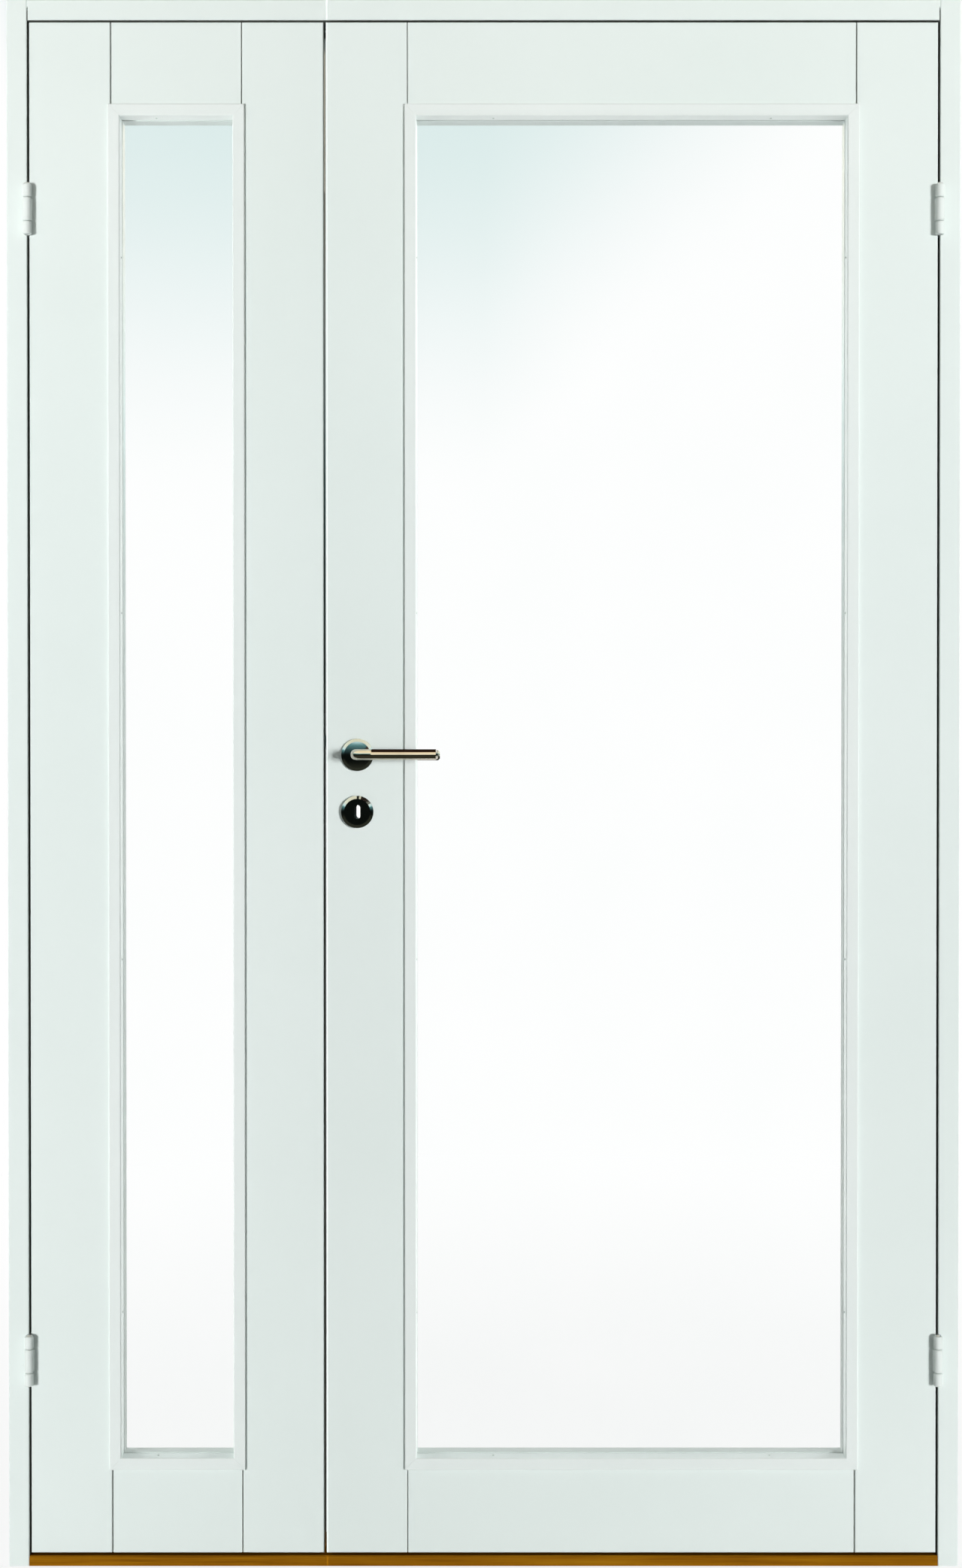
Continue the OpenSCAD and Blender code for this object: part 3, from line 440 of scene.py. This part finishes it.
strike_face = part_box("strike_plate")[1].x
flush_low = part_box("flush_plate_bottom")
flush_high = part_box("flush_plate_top")
FOOT_SCREW = 0.007
passive_places = hinge_screw_places("leaf", "left")
passive_places += edge_places("strike_plate", strike_face, (1, 0, 0))
passive_places += [
    (Vector((flush_high[1].x, 0, flush_high[0].z + SCREW_NEAR)), (1, 0, 0)),
    (Vector((flush_high[0].x + FOOT_SCREW, 0, flush_high[1].z)), (0, 0, 1)),
    (Vector((flush_low[1].x, 0, flush_low[1].z - SCREW_NEAR)), (1, 0, 0)),
    (Vector((flush_low[0].x + FOOT_SCREW, 0, flush_low[0].z)), (0, 0, -1)),
]
passive_screw_set = new_piece("passive_screw_set", copies(screw_master, passive_places),
                              "passive_leaf", zinc)
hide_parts("passive_screws")

forend_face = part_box("lock_case")[0].x
active_places = hinge_screw_places("leaf", "right")
active_places += edge_places("lock_case", forend_face, (-1, 0, 0))
active_screw_set = new_piece("active_screw_set", copies(screw_master, active_places),
                             "active_leaf", zinc)
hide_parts("active_screws")


# Stiles and rails of both leaves: tenoned boards with a fine vee line at each joint.
# They have the frame's enamel, a shade duller; their edges are painted dark grey, a painted shade
# that makes the gaps and the joint lines read dark.
LEAF_DULLNESS = 0.36
leaf_enamel = enamel("leaf_enamel", WHITE_LOW, WHITE_HIGH, LEAF_DULLNESS, WOOD_STIPPLE, edge_faces)
dress(leaf_enamel, "passive_hinge_stile", "passive_meeting_stile", "passive_top_rail",
      "passive_bottom_rail", "active_lock_stile", "active_hinge_stile", "active_top_rail",
      "active_bottom_rail")


# Panes: clear float glass, 4 mm, bedded between foam tapes and standing on two plastic blocks.
# The glass is mirror smooth and very faintly green, with the slight film that a wiped pane keeps.
FILM_LOW = (0.975, 0.99, 0.985)
FILM_HIGH = (0.99, 0.998, 0.995)
GLASS_SHADE = (0.94, 0.97, 0.96, 1.0)


def float_glass():
    material, w = new_finish("float_glass")
    film = speckle(w, place_on(w), scale=5.0, detail=3.0)
    glass = w.node("ShaderNodeBsdfPrincipled", {}, {
        "Base Color": tint(w, film, FILM_LOW, FILM_HIGH),
        "Roughness": 0.0,
        "IOR": 1.45,
        "Transmission Weight": 1.0,
    })
    clear = w.node("ShaderNodeBsdfTransparent", {}, {"Color": GLASS_SHADE})
    lamp = w.node("ShaderNodeLightPath", {}, {}, "Is Shadow Ray")
    surface(w, w.node("ShaderNodeMixShader", {}, {0: lamp, 1: glass, 2: clear}))
    return material


dress(float_glass(), "passive_pane", "active_pane")

FOAM_DARK = (0.50, 0.53, 0.51)
FOAM_PALE = (0.66, 0.69, 0.67)
FOAM_DULLNESS = 0.85
FOAM_SPREAD = 0.1
FOAM_CELL_DEPTH = 0.0001


def soft_foam():
    material, w = new_finish("soft_foam")
    cells = speckle(w, place_on(w), scale=1600.0)
    surface(w, w.node("ShaderNodeBsdfPrincipled", {}, {
        "Base Color": tint(w, cells, FOAM_DARK, FOAM_PALE),
        "Roughness": FOAM_DULLNESS - FOAM_SPREAD * cells,
        "Normal": relief(w, cells, FOAM_CELL_DEPTH),
    }))
    return material


dress(soft_foam(), "passive_glazing_tape", "active_glazing_tape")

BLOCK_DARK = (0.018, 0.018, 0.020)
BLOCK_PALE = (0.03, 0.03, 0.033)
BLOCK_DULLNESS = 0.45
BLOCK_SPREAD = 0.2
BLOCK_GRAIN_DEPTH = 0.00003


def block_plastic():
    material, w = new_finish("block_plastic")
    grain = speckle(w, place_on(w), scale=700.0)
    surface(w, w.node("ShaderNodeBsdfPrincipled", {}, {
        "Base Color": tint(w, grain, BLOCK_DARK, BLOCK_PALE),
        "Roughness": BLOCK_DULLNESS + BLOCK_SPREAD * grain,
        "Normal": relief(w, grain, BLOCK_GRAIN_DEPTH),
    }))
    return material


dress(block_plastic(), "passive_setting_blocks", "active_setting_blocks")


# Glazing beads: mitred mouldings that lap over the stiles and rails and hold the glass.
# They are enamelled before they are fitted, and each is held by fine pins through its inner face.
BEAD_LOW = (0.79, 0.845, 0.825)
BEAD_HIGH = (0.815, 0.864, 0.845)
BEAD_DULLNESS = 0.30
BEAD_STIPPLE = 0.00002
bead_enamel = enamel("bead_enamel", BEAD_LOW, BEAD_HIGH, BEAD_DULLNESS, BEAD_STIPPLE)
dress(bead_enamel, *["%s_bead_%s" % (leaf, side) for leaf in ("passive", "active")
                     for side in ("left", "right", "top", "bottom")])
dress(bead_enamel, "passive_rear_beads", "active_rear_beads")

PIN_HEAD_R = 0.0014
PIN_HEAD_H = 0.0009
PIN_TOP = 0.55
PIN_DOME = 0.35
PIN_SHOULDER = 0.62
PIN_NECK = 0.5
PIN_SUNK = 0.004
PIN_SIDES = 16
PIN_DEPTH = -0.0116
PIN_HEIGHTS = (0.338, 0.811, 1.274, 1.748)
PIN_RUNS = {"passive": (-0.436,), "active": (0.013, 0.383)}


def glazing_pin():
    """The head and a little of the shank of a pin, along -Z, with the bead's face at z = 0."""
    pin = bmesh.new()
    verts = bmesh.ops.create_circle(pin, segments=PIN_SIDES, radius=PIN_HEAD_R * PIN_TOP)["verts"]
    bmesh.ops.translate(pin, vec=(0.0, 0.0, PIN_HEAD_H), verts=verts)
    top = list(dict.fromkeys(e for v in verts for e in v.link_edges))
    shoulder = pulled(pin, top, -PIN_HEAD_H * PIN_DOME, 1.0 / PIN_SHOULDER)
    rim = pulled(pin, shoulder, -PIN_HEAD_H * (1.0 - PIN_DOME), PIN_SHOULDER / PIN_TOP)
    neck = pulled(pin, rim, 0.0, PIN_NECK)
    foot = pulled(pin, neck, -PIN_SUNK)
    bmesh.ops.edgeloop_fill(pin, edges=top)
    bmesh.ops.edgeloop_fill(pin, edges=foot)
    bmesh.ops.recalc_face_normals(pin, faces=pin.faces)
    for face in pin.faces:
        face.smooth = True
    mesh = bpy.data.meshes.new("glazing_pin")
    pin.to_mesh(mesh)
    pin.free()
    return mesh


PIN_LOW = (0.50, 0.56, 0.53)
PIN_HIGH = (0.60, 0.66, 0.63)
PIN_DULLNESS = 0.34
PIN_STIPPLE = 0.00001
pin_enamel = enamel("pin_enamel", PIN_LOW, PIN_HIGH, PIN_DULLNESS, PIN_STIPPLE)
pin_master = glazing_pin()
for leaf, runs in PIN_RUNS.items():
    sight_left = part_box(leaf + "_bead_left")[1].x
    sight_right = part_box(leaf + "_bead_right")[0].x
    sight_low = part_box(leaf + "_bead_bottom")[1].z
    sight_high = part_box(leaf + "_bead_top")[0].z
    places = []
    for z in PIN_HEIGHTS:
        places.append((Vector((sight_left, PIN_DEPTH, z)), (1, 0, 0)))
        places.append((Vector((sight_right, PIN_DEPTH, z)), (-1, 0, 0)))
    for x in runs:
        places.append((Vector((x, PIN_DEPTH, sight_low)), (0, 0, 1)))
        places.append((Vector((x, PIN_DEPTH, sight_high)), (0, 0, -1)))
    new_piece(leaf + "_glazing_pins", copies(pin_master, places),
              leaf + "_leaf", pin_enamel)


# Lever, roses and escutcheons: stainless steel, the lever bent from round bar, the discs turned.
# They are ground to a satin that still mirrors: lines run along the grip and round each disc.
# Cream in the lever's steel and teal in the discs' steel are painted reflection colours.
LEVER_DARK_CREAM_REFLECTION = (0.52, 0.48, 0.40)
LEVER_PALE_CREAM_REFLECTION = (0.66, 0.62, 0.53)
ROSE_DARK_TEAL_REFLECTION = (0.42, 0.46, 0.46)
ROSE_PALE_TEAL_REFLECTION = (0.54, 0.59, 0.59)
MARKS_A_METRE = 2600.0
MARK_RUN = (40.0, MARKS_A_METRE, MARKS_A_METRE)
MARK_DEPTH = 0.000004
SATIN_DULLNESS = 0.07
MARK_SPREAD = 0.04
HAZE_SPREAD = 0.03


def satin_steel(name, lines, dark, pale):
    """Ground steel; lines gives the grinding marks as noise between 0 and 1."""
    material, w = new_finish(name)
    marks = lines(w)
    haze = speckle(w, place_on(w), scale=45.0)
    surface(w, w.node("ShaderNodeBsdfPrincipled", {}, {
        "Base Color": tint(w, marks, dark, pale),
        "Metallic": 1.0,
        "Roughness": SATIN_DULLNESS + MARK_SPREAD * marks + HAZE_SPREAD * haze,
        "Normal": relief(w, marks, MARK_DEPTH),
    }))
    return material


def marks_along(w):
    """Marks along the grip."""
    return speckle(w, place_on(w, MARK_RUN), scale=1.0)


def marks_round(centre):
    """Marks round an axis along Y through a point."""
    def lines(w):
        across = part_of(w, "Object", "X") - centre.x
        up = part_of(w, "Object", "Z") - centre.z
        radius = (across * across + up * up) ** 0.5
        return w.node("ShaderNodeTexNoise", {"noise_dimensions": "1D"},
                      {"W": radius * MARKS_A_METRE, "Scale": 1.0, "Detail": 2.0})
    return lines


def middle_of(node):
    low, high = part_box(node)
    return (low + high) / 2


dress(satin_steel("lever_steel", marks_along, LEVER_DARK_CREAM_REFLECTION, LEVER_PALE_CREAM_REFLECTION), "lever_front", "lever_rear")
rose_middle = middle_of("rose_front")
dress(satin_steel("rose_steel", marks_round(rose_middle), ROSE_DARK_TEAL_REFLECTION, ROSE_PALE_TEAL_REFLECTION),
      "rose_front", "rose_rear")
key_middle = middle_of("escutcheon_front")
dress(satin_steel("escutcheon_steel", marks_round(key_middle), ROSE_DARK_TEAL_REFLECTION, ROSE_PALE_TEAL_REFLECTION),
      "escutcheon_front", "escutcheon_rear")


# Floor: a plain pale studio floor under the frame. What the camera sees of it is mostly white,
# and the rest takes the object's soft shadow.
FLOOR_HALF = 9.0
FLOOR_PALE = (0.86, 0.88, 0.87, 1.0)
FLOOR_WHITE_NEAR = 0.85
FLOOR_NEAR = 0.6
FLOOR_FAR = 3.0
CLEAR_WHITE = (1.0, 1.0, 1.0, 1.0)


def seen_ray(w):
    """1 where the camera looks, straight or by metal or glass."""
    seen = None
    for ray in ("Is Camera Ray", "Is Glossy Ray", "Is Transmission Ray"):
        share = w.node("ShaderNodeLightPath", {}, {}, ray)
        seen = share if seen is None else seen.sum("MAXIMUM", seen, share)
    return seen


def studio_floor():
    material, w = new_finish("studio_floor")
    pale = w.node("ShaderNodeBsdfDiffuse", {}, {"Color": FLOOR_PALE})
    white = w.node("ShaderNodeEmission", {}, {"Color": CLEAR_WHITE, "Strength": 1.0})
    place = w.node("ShaderNodeTexCoord", {}, {}, "Object")
    away = w.node("ShaderNodeVectorMath", {"operation": "LENGTH"}, {0: place}, "Value")
    share = w.node("ShaderNodeMapRange", {"interpolation_type": "SMOOTHSTEP"}, {
        "Value": away, "From Min": FLOOR_NEAR, "From Max": FLOOR_FAR,
        "To Min": FLOOR_WHITE_NEAR, "To Max": 1.0})
    surface(w, w.node("ShaderNodeMixShader", {}, {0: seen_ray(w) * share, 1: pale, 2: white}))
    return material


def stage_piece(name, mesh, material, rays, place=(0.0, 0.0, 0.0)):
    """Makes a bmesh a piece of the studio, met only by some kinds of ray."""
    data = bpy.data.meshes.new(name)
    mesh.to_mesh(data)
    mesh.free()
    data.materials.append(material)
    piece = bpy.data.objects.new(name, data)
    piece.location = place
    for ray in ("camera", "diffuse", "glossy", "transmission", "volume_scatter", "shadow"):
        setattr(piece, "visible_" + ray, ray in rays)
    bpy.context.scene.collection.objects.link(piece)


floor_mesh = bmesh.new()
bmesh.ops.create_grid(floor_mesh, x_segments=4, y_segments=4, size=FLOOR_HALF)
stage_piece("studio_floor", floor_mesh, studio_floor(),
            ("camera", "diffuse", "transmission", "volume_scatter", "shadow"))


# World: a white studio all round, which the camera, the metal and the glass see at full strength.
# High on the left behind the door it has a pale blue-green tint, which shows through the panes.
# What falls on the object from it is a weak even fill.
FILL = 0.115
STUDIO_WHITE = (1.0, 1.0, 1.0)
STUDIO_TINT = (0.70, 0.83, 0.82)
TINT_LEFT = -0.19
TINT_LEFT_FALL = 8.0
TINT_RISE_FROM = 0.12
TINT_RISE_TO = 0.31
world = bpy.data.worlds.new("white_studio")
bpy.context.scene.world = world
world.use_nodes = True
world.node_tree.nodes.clear()
studio_wires = Wire(world.node_tree)
seen = seen_ray(studio_wires)
towards = studio_wires.node("ShaderNodeTexCoord", {}, {}, "Generated")
across = studio_wires.node("ShaderNodeSeparateXYZ", {}, {"Vector": towards}, "X")
behind = studio_wires.node("ShaderNodeSeparateXYZ", {}, {"Vector": towards}, "Y")
rise = studio_wires.node("ShaderNodeSeparateXYZ", {}, {"Vector": towards}, "Z")
far_left = across.sum("MAXIMUM", TINT_LEFT - across, 0.0)
tinted = rise - across.sum("MAXIMUM", across, 0.0) - TINT_LEFT_FALL * far_left
tinted = studio_wires.node("ShaderNodeMapRange", {"interpolation_type": "SMOOTHSTEP"}, {
    "Value": tinted, "From Min": TINT_RISE_FROM, "From Max": TINT_RISE_TO,
    "To Min": 0.0, "To Max": 1.0})
tinted = tinted * behind.sum("GREATER_THAN", behind, 0.0)
tinted = tinted * (TINT_TO - TINT_FROM) + TINT_FROM
sky = studio_wires.node("ShaderNodeBackground", {}, {
    "Color": tint(studio_wires, tinted, STUDIO_WHITE, STUDIO_TINT),
    "Strength": seen + (1.0 - seen) * FILL,
})
studio_wires.node("ShaderNodeOutputWorld", {}, {"Surface": sky})


# Lamps: a soft box on each side in front, the right one farther off for the wide leaf, so that
# beads and knuckles throw short shadows towards the middle; and two behind, which light the back
# and the glazing reveals. Those in front leave no sheen, so that no leaf glares from any side.
AIM_OUT = 0.35
AIM_HEIGHT = 1.05
LEFT_PLACE = (-4.2, -6.2, 0.7)
LEFT_SIZE = (1.5, 1.2)
LEFT_POWER = 450.0
RIGHT_PLACE = (8.4, -12.4, 1.3)
RIGHT_SIZE = (3.0, 2.4)
RIGHT_POWER = 1880.0
BACK_OUT = 2.6
BACK_BEHIND = 2.4
BACK_HEIGHT = 1.3
BACK_SIZE = (0.8, 1.6)
BACK_POWER = 60.0


def soft_box(name, place, aim_x, size, power, sheen):
    """A rectangular lamp that looks at a point in the door's mid-plane, unseen by the camera."""
    light = bpy.data.lights.new(name, "AREA")
    light.shape = "RECTANGLE"
    light.size, light.size_y = size
    light.energy = power
    lamp = bpy.data.objects.new(name, light)
    lamp.location = place
    aim = Vector((aim_x, 0.0, AIM_HEIGHT))
    lamp.rotation_euler = (aim - Vector(place)).to_track_quat("-Z", "Y").to_euler()
    lamp.visible_camera = False
    lamp.visible_transmission = False
    lamp.visible_glossy = sheen
    bpy.context.scene.collection.objects.link(lamp)


soft_box("soft_box_left", LEFT_PLACE, -AIM_OUT, LEFT_SIZE, LEFT_POWER, sheen=False)
soft_box("soft_box_right", RIGHT_PLACE, AIM_OUT, RIGHT_SIZE, RIGHT_POWER, sheen=False)
for name, side in (("left", -1.0), ("right", 1.0)):
    soft_box("soft_box_back_" + name, (side * BACK_OUT, BACK_BEHIND, BACK_HEIGHT), 0.0,
             BACK_SIZE, BACK_POWER, sheen=True)


# Flag: a thin black board upright before the meeting edges, which keeps each side lamp to its own
# leaf. It stops only the light of the lamps, and nothing sees it.
FLAG_X = -0.2085
FLAG_CLEAR = 0.001
FLAG_NEAR = LEAF_FRONT - FLAG_CLEAR
FLAG_FAR = -2.6
FLAG_TOP = 2.3
FLAG_BLACK = (0.01, 0.01, 0.01, 1.0)
black_cloth, cloth_wires = new_finish("black_cloth")
surface(cloth_wires, cloth_wires.node("ShaderNodeBsdfDiffuse", {}, {"Color": FLAG_BLACK}))
flag = bmesh.new()
bmesh.ops.create_grid(flag, x_segments=1, y_segments=1, size=0.5)
bmesh.ops.rotate(flag, matrix=Matrix.Rotation(math.pi / 2, 3, "Y"), verts=flag.verts)
bmesh.ops.scale(flag, vec=(1.0, FLAG_NEAR - FLAG_FAR, FLAG_TOP), verts=flag.verts)
bmesh.ops.translate(flag, vec=(FLAG_X, (FLAG_NEAR + FLAG_FAR) / 2, FLAG_TOP / 2), verts=flag.verts)
stage_piece("flag", flag, black_cloth, ("shadow",))


# Backdrops for the metal: a wide half globe of graded cloth before the door and another behind it,
# dark at eye level and bright above, so that bar and discs show their form. Round each grip stand a
# cream card and a brown hood. Only satin metal and paint mirror them, and clear glass doesn't.
GLOBE_R = 2.4
GLOBE_SIDES = 64
GLOBE_RINGS = 48
GLOBE_CUT = 0.002
GLOBE_CLOTH = [
    (-1.0, (0.035, 0.035, 0.024)), (-0.40, (0.030, 0.030, 0.020)), (-0.17, (0.004, 0.005, 0.004)),
    (0.045, (0.004, 0.005, 0.004)), (0.145, (0.03, 0.06, 0.06)), (0.225, (0.08, 0.16, 0.16)),
    (0.305, (0.12, 0.29, 0.29)), (0.375, (0.75, 0.95, 0.95)), (0.55, (1.0, 0.94, 0.76)),
    (1.0, (0.9, 0.80, 0.58)),
]
GLOBE_GLOW = 1.5
CARD_CLOTH = [
    (-1.0, (0.10, 0.22, 0.22)), (-0.93, (0.90, 0.84, 0.70)), (0.20, (1.0, 0.90, 0.68)),
    (0.55, (0.45, 0.28, 0.17)), (0.80, (0.05, 0.026, 0.018)), (1.0, (0.03, 0.016, 0.011)),
]
CARD_GLOW = 1.4
HOOD_CLOTH = [
    (-1.0, (0.07, 0.07, 0.05)), (-0.36, (0.07, 0.07, 0.05)), (-0.30, (0.03, 0.016, 0.011)),
    (1.0, (0.03, 0.016, 0.011)),
]
HOOD_GLOW = 1.0
GRIP_R = 0.007
CARD_REACH = 0.016
CARD_DROP = 0.0011
HOOD_RISE = 0.02
HOOD_DROP = 0.01
HOOD_DEPTH = 0.046
HOOD_FROM_ROSE = 0.020
HOOD_PAST_GRIP = 0.002


def backdrop_cloth(name, half, levels, strength):
    """A glowing cloth, graded from its lowest level, -1, to its highest, 1, clear to glass."""
    material, w = new_finish(name)
    up = part_of(w, "Object", "Z") * (0.5 / half) + 0.5
    stops = [((level + 1.0) / 2, colour) for level, colour in levels]
    glow = w.node("ShaderNodeEmission", {}, {
        "Color": w.node("ShaderNodeValToRGB", {"stops": stops}, {"Fac": up}),
        "Strength": strength,
    })
    clear = w.node("ShaderNodeBsdfTransparent", {}, {"Color": CLEAR_WHITE})
    by_glass = w.node("ShaderNodeLightPath", {}, {}, "Is Singular Ray")
    surface(w, w.node("ShaderNodeMixShader", {}, {0: by_glass, 1: glow, 2: clear}))
    return material


def board(ends, near, far):
    """A flat board along X between two ends, from one edge to another, each edge as (y, z);
    it lies about the origin, and its middle is given with it."""
    sheet = bmesh.new()
    bmesh.ops.create_grid(sheet, x_segments=1, y_segments=1, size=0.5)
    across, up = far[0] - near[0], far[1] - near[1]
    length, width = ends[1] - ends[0], math.hypot(across, up)
    lean = Matrix.Rotation(math.atan2(up, across), 3, "X")
    bmesh.ops.scale(sheet, vec=(length, width, 1.0), verts=sheet.verts)
    bmesh.ops.rotate(sheet, matrix=lean, verts=sheet.verts)
    return sheet, ((ends[0] + ends[1]) / 2, (near[0] + far[0]) / 2, (near[1] + far[1]) / 2)


grip_low, grip_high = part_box("lever_front")
hood_ends = (rose_middle.x + HOOD_FROM_ROSE, grip_high.x + HOOD_PAST_GRIP)
card_depth = CARD_REACH - grip_low.y - GRIP_R
roof_z = rose_middle.z + HOOD_RISE
globe_middle = (rose_middle.x, 0.0, (rose_middle.z + key_middle.z) / 2)
globe_cloth = backdrop_cloth("globe_cloth", GLOBE_R, GLOBE_CLOTH, GLOBE_GLOW)
card_cloth = backdrop_cloth("card_cloth", (HOOD_RISE + CARD_DROP) / 2, CARD_CLOTH, CARD_GLOW)
hood_cloth = backdrop_cloth("hood_cloth", (HOOD_RISE + HOOD_DROP) / 2, HOOD_CLOTH, HOOD_GLOW)
for name, side in (("front", -1.0), ("rear", 1.0)):
    globe = bmesh.new()
    bmesh.ops.create_uvsphere(globe, u_segments=GLOBE_SIDES, v_segments=GLOBE_RINGS, radius=GLOBE_R)
    bmesh.ops.bisect_plane(globe, geom=globe.verts[:] + globe.edges[:] + globe.faces[:],
                           plane_co=(0.0, side * GLOBE_CUT, 0.0), plane_no=(0.0, side, 0.0),
                           clear_inner=True)
    stage_piece("backdrop_globe_" + name, globe, globe_cloth, ("glossy",), globe_middle)
    card_foot = (side * card_depth, rose_middle.z - CARD_DROP)
    card_top = (side * card_depth, roof_z)
    hood_top = (side * HOOD_DEPTH, roof_z)
    hood_hem = (side * HOOD_DEPTH, rose_middle.z - HOOD_DROP)
    for piece, cloth, near, far in (("card", card_cloth, card_foot, card_top),
                                    ("roof", hood_cloth, card_top, hood_top),
                                    ("hood", hood_cloth, hood_hem, hood_top)):
        sheet, middle = board(hood_ends, near, far)
        stage_piece("backdrop_" + piece + "_" + name, sheet, cloth, ("glossy",), middle)


# Camera: square on to the door, a little above half its height, tilted down half a degree.
# Its lens and its small shift, given in pixels of a picture 1280 wide, frame the whole door.
PHOTO_W = 1280.0
SHIFT_X = -3.4
SHIFT_Y = 3.7
CAMERA_GAP = 2.83
CAMERA_HEIGHT = 1.066
CAMERA_TILT = 0.0085
PIXELS_A_METRE = 998.5
SENSOR_W = 36.0
camera_data = bpy.data.cameras.new("camera")
camera_data.sensor_fit = "HORIZONTAL"
camera_data.sensor_width = SENSOR_W
camera_data.lens = SENSOR_W * CAMERA_GAP * PIXELS_A_METRE / PHOTO_W
camera_data.shift_x = SHIFT_X / PHOTO_W
camera_data.shift_y = SHIFT_Y / PHOTO_W
camera = bpy.data.objects.new("camera", camera_data)
camera.location = (0.0, LEAF_FRONT - CAMERA_GAP, CAMERA_HEIGHT)
camera.rotation_euler = (math.pi / 2 - CAMERA_TILT, 0.0, 0.0)
bpy.context.scene.collection.objects.link(camera)
bpy.context.scene.camera = camera
bpy.context.scene.view_settings.view_transform = "Standard"
